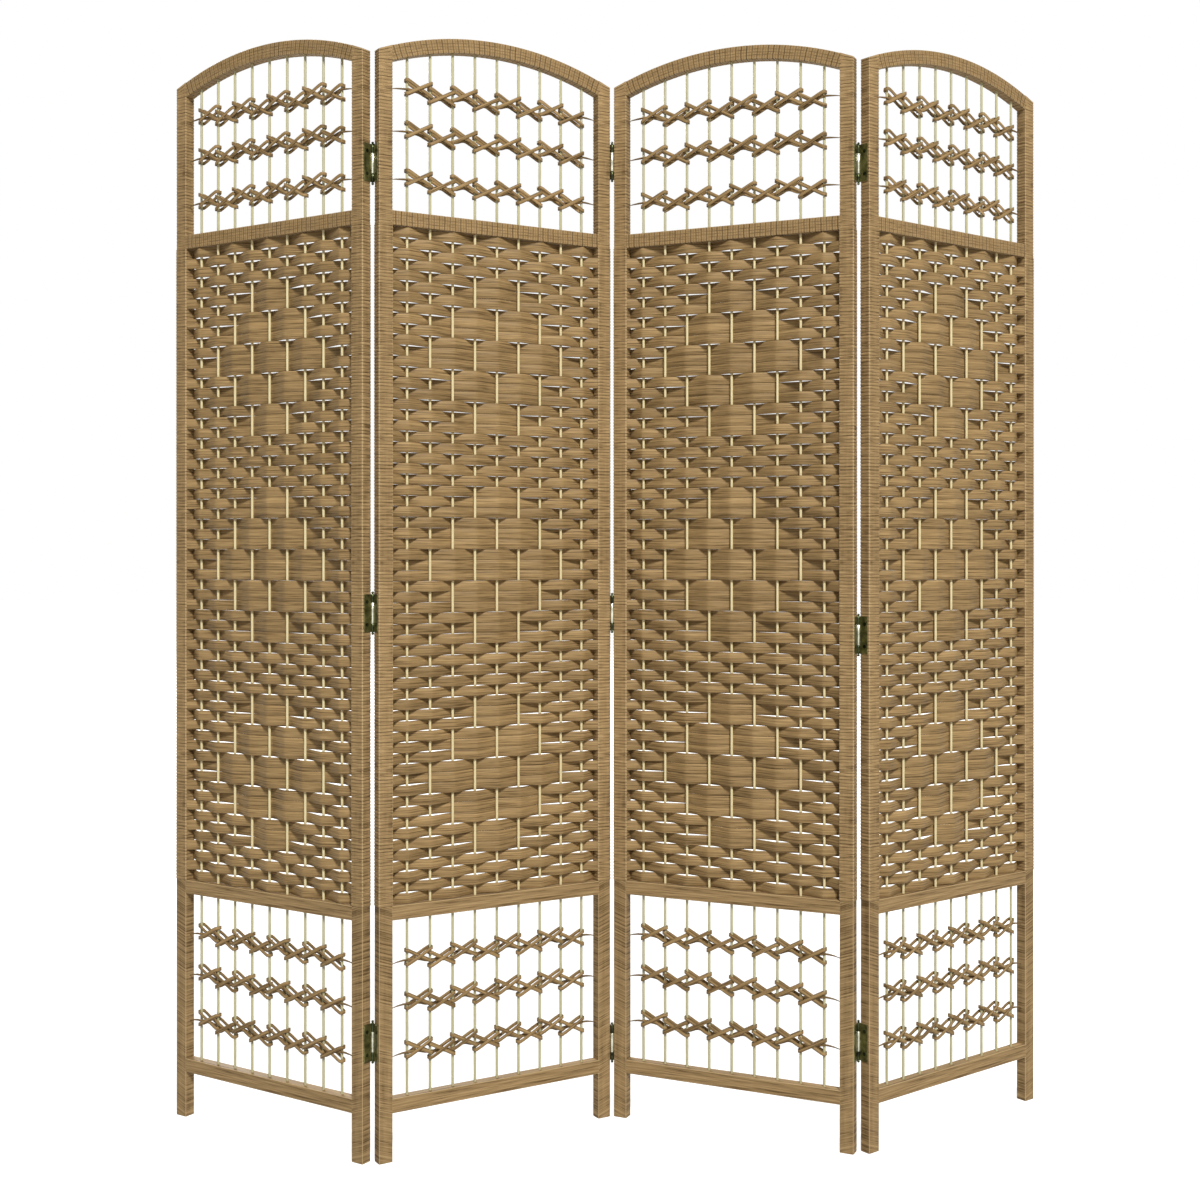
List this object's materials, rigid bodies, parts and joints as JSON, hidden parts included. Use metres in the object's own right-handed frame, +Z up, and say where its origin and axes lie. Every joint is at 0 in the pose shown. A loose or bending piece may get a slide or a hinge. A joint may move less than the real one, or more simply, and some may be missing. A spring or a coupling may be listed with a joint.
{
  "type": "folding room divider",
  "caption": "Free-standing folding screen of hinged arched panels, each with a woven strip field between openings of thin rods tied with crossed lashings.",
  "frame": {"origin": "on the floor, at the middle of the screen's plan as it stands in the picture", "axes": "+Z up, +X along the screen from panel 1 to panel 4, -Y towards the side that the picture shows"},
  "size_m": [1.4084, 0.3068, 1.7],
  "materials": {
    "frame_wood": "stained, satin",
    "rods": "plain pale wood",
    "woven_strips": "satin",
    "lashings": "satin",
    "hinge_metal": "antique"
  },
  "bodies": {
    "panel_2": {"panel_2_left_stile": "frame_wood", "panel_2_right_stile": "frame_wood", "panel_2_arch_rail": "frame_wood", "panel_2_upper_rail": "frame_wood", "panel_2_lower_rail": "frame_wood", "panel_2_bottom_rail": "frame_wood", "panel_2_rods": "rods", "panel_2_weave": "woven_strips", "panel_2_upper_lashings": "lashings", "panel_2_lower_lashings": "lashings", "first_joint_one_knuckle_leaves": "hinge_metal", "second_joint_one_knuckle_leaves": "hinge_metal"},
    "panel_1": {"panel_1_left_stile": "frame_wood", "panel_1_right_stile": "frame_wood", "panel_1_arch_rail": "frame_wood", "panel_1_upper_rail": "frame_wood", "panel_1_lower_rail": "frame_wood", "panel_1_bottom_rail": "frame_wood", "panel_1_rods": "rods", "panel_1_weave": "woven_strips", "panel_1_upper_lashings": "lashings", "panel_1_lower_lashings": "lashings", "first_joint_two_knuckle_leaves": "hinge_metal", "first_joint_pins": "hinge_metal"},
    "panel_3": {"panel_3_left_stile": "frame_wood", "panel_3_right_stile": "frame_wood", "panel_3_arch_rail": "frame_wood", "panel_3_upper_rail": "frame_wood", "panel_3_lower_rail": "frame_wood", "panel_3_bottom_rail": "frame_wood", "panel_3_rods": "rods", "panel_3_weave": "woven_strips", "panel_3_upper_lashings": "lashings", "panel_3_lower_lashings": "lashings", "second_joint_two_knuckle_leaves": "hinge_metal", "second_joint_pins": "hinge_metal", "third_joint_one_knuckle_leaves": "hinge_metal"},
    "panel_4": {"panel_4_left_stile": "frame_wood", "panel_4_right_stile": "frame_wood", "panel_4_arch_rail": "frame_wood", "panel_4_upper_rail": "frame_wood", "panel_4_lower_rail": "frame_wood", "panel_4_bottom_rail": "frame_wood", "panel_4_rods": "rods", "panel_4_weave": "woven_strips", "panel_4_upper_lashings": "lashings", "panel_4_lower_lashings": "lashings", "third_joint_two_knuckle_leaves": "hinge_metal", "third_joint_pins": "hinge_metal"}
  },
  "joints": [
    {"name": "first_joint", "type": "hinge", "parent": "panel_2", "child": "panel_1", "pos_m": [-0.35533, -0.13625, 0.85], "axis": [0, 0, 1], "range_deg": [-116, 64]},
    {"name": "second_joint", "type": "hinge", "parent": "panel_2", "child": "panel_3", "pos_m": [0.00182, 0.05199, 0.85], "axis": [0, 0, 1], "range_deg": [-124, 56]},
    {"name": "third_joint", "type": "hinge", "parent": "panel_3", "child": "panel_4", "pos_m": [0.37772, -0.09526, 0.85], "axis": [0, 0, 1], "range_deg": [-63.5, 116.5]}
  ]
}
